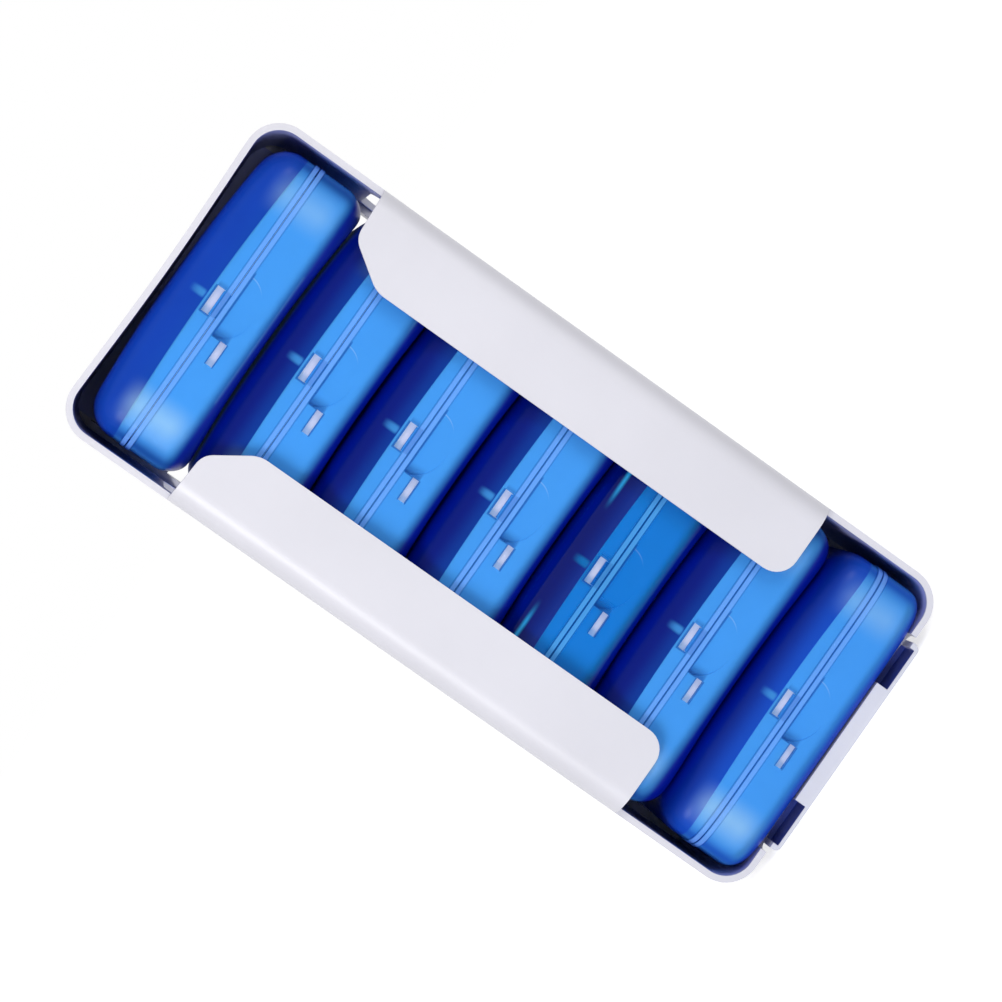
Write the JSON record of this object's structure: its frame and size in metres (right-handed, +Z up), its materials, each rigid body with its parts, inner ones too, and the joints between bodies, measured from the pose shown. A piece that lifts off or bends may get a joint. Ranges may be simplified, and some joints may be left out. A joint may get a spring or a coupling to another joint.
{
  "type": "weekly pill drawer organizer",
  "caption": "Upright white rack with front flaps that holds a stack of blue hinged pill boxes, each with a white divided tray inside, drawn out as drawers.",
  "frame": {"origin": "under the middle of the foot, where the standing rack meets the table", "axes": "+Z up the stack; -Y out of the rack's front, where the latches face; X across the rack"},
  "size_m": [0.0708, 0.0592, 0.1601],
  "materials": {
    "white_shell": "satin",
    "blue_shell": "satin translucent",
    "clear_blue": "clear gloss",
    "white_tray": "matte",
    "steel_pin": "drawn"
  },
  "bodies": {
    "rack": {"holder_frame": "white_shell", "foot_plate": "white_shell"},
    "day1_box": {"day1_base": "blue_shell", "day1_lid": "blue_shell", "day1_tray": "white_tray", "day1_hinge_pin": "steel_pin"},
    "day2_box": {"day2_base": "blue_shell", "day2_lid": "blue_shell", "day2_tray": "white_tray", "day2_hinge_pin": "steel_pin"},
    "day3_box": {"day3_base": "blue_shell", "day3_lid": "blue_shell", "day3_tray": "white_tray", "day3_hinge_pin": "steel_pin"},
    "day4_box": {"day4_base": "blue_shell", "day4_lid": "blue_shell", "day4_tray": "white_tray", "day4_hinge_pin": "steel_pin"},
    "day5_box": {"day5_base": "clear_blue", "day5_lid": "clear_blue", "day5_tray": "white_tray", "day5_hinge_pin": "steel_pin"},
    "day6_box": {"day6_base": "blue_shell", "day6_lid": "blue_shell", "day6_tray": "white_tray", "day6_hinge_pin": "steel_pin"},
    "day7_box": {"day7_base": "blue_shell", "day7_lid": "blue_shell", "day7_tray": "white_tray", "day7_hinge_pin": "steel_pin"}
  },
  "joints": [
    {"name": "day1_slide", "type": "slide", "parent": "rack", "child": "day1_box", "axis": [0, 1, 0], "range_m": [-0.06, 0]},
    {"name": "day2_slide", "type": "slide", "parent": "rack", "child": "day2_box", "axis": [0, 1, 0], "range_m": [0, 0.06]},
    {"name": "day3_slide", "type": "slide", "parent": "rack", "child": "day3_box", "axis": [0, 1, 0], "range_m": [0, 0.06]},
    {"name": "day4_slide", "type": "slide", "parent": "rack", "child": "day4_box", "axis": [0, 1, 0], "range_m": [0, 0.06]},
    {"name": "day5_slide", "type": "slide", "parent": "rack", "child": "day5_box", "axis": [0, 1, 0], "range_m": [0, 0.06]},
    {"name": "day6_slide", "type": "slide", "parent": "rack", "child": "day6_box", "axis": [0, 1, 0], "range_m": [0, 0.06]},
    {"name": "day7_slide", "type": "slide", "parent": "rack", "child": "day7_box", "axis": [0, 1, 0], "range_m": [-0.06, 0]}
  ]
}
